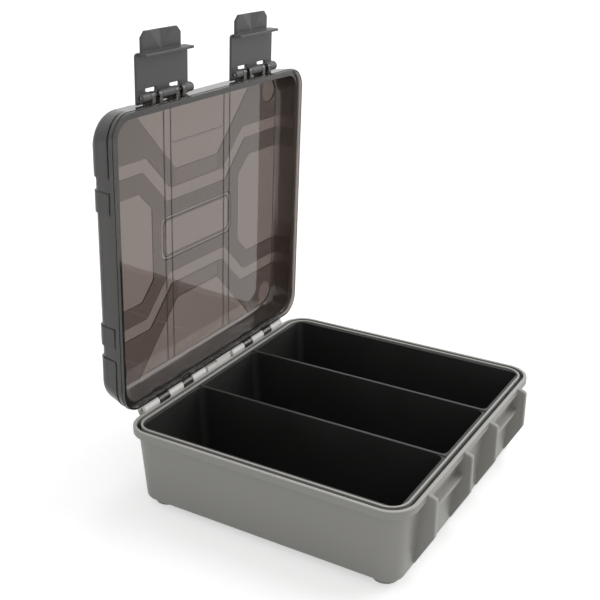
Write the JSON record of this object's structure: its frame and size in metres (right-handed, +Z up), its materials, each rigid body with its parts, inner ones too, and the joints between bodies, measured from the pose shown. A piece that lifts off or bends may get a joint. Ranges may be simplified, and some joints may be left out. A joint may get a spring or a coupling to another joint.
{
  "type": "tackle accessory box",
  "caption": "Lidded accessory box: base with a compartment tray, hinged smoked lid, rim seal and swing latches that hook under catches.",
  "frame": {"origin": "on the ground plane under the middle of the box, midway across and midway front to back of the rim", "axes": "+Z up, -Y towards the latches, +Y towards the hinge, +X to the right when facing the latches"},
  "size_m": [0.19, 0.1968, 0.2632],
  "materials": {
    "base_plastic": "satin grey polypropylene",
    "tray_plastic": "fine matt black",
    "seal_rubber": "matt",
    "lid_plastic": "clear smoked grey",
    "latch_plastic": "satin dark grey",
    "pin_steel": "drawn wire"
  },
  "bodies": {
    "base": {"base_shell": "base_plastic", "compartment_tray": "tray_plastic", "lid_seal": "seal_rubber", "hinge_pin_left": "pin_steel", "hinge_pin_right": "pin_steel"},
    "lid_body": {"lid": "lid_plastic", "latch_pin_left": "pin_steel", "latch_pin_right": "pin_steel"},
    "latch_left_body": {"latch_left": "latch_plastic"},
    "latch_right_body": {"latch_right": "latch_plastic"}
  },
  "joints": [
    {"name": "lid_hinge", "type": "hinge", "parent": "base", "child": "lid_body", "pos_m": [0, 0.0891, 0.0518], "axis": [1, 0, 0], "range_deg": [0, 88]},
    {"name": "latch_left_hinge", "type": "hinge", "parent": "lid_body", "child": "latch_left_body", "pos_m": [-0.0434, 0.08589, 0.2298], "axis": [1, 0, 0], "range_deg": [0, 90]},
    {"name": "latch_right_hinge", "type": "hinge", "parent": "lid_body", "child": "latch_right_body", "pos_m": [0.0434, 0.08589, 0.2298], "axis": [1, 0, 0], "range_deg": [0, 90]}
  ]
}
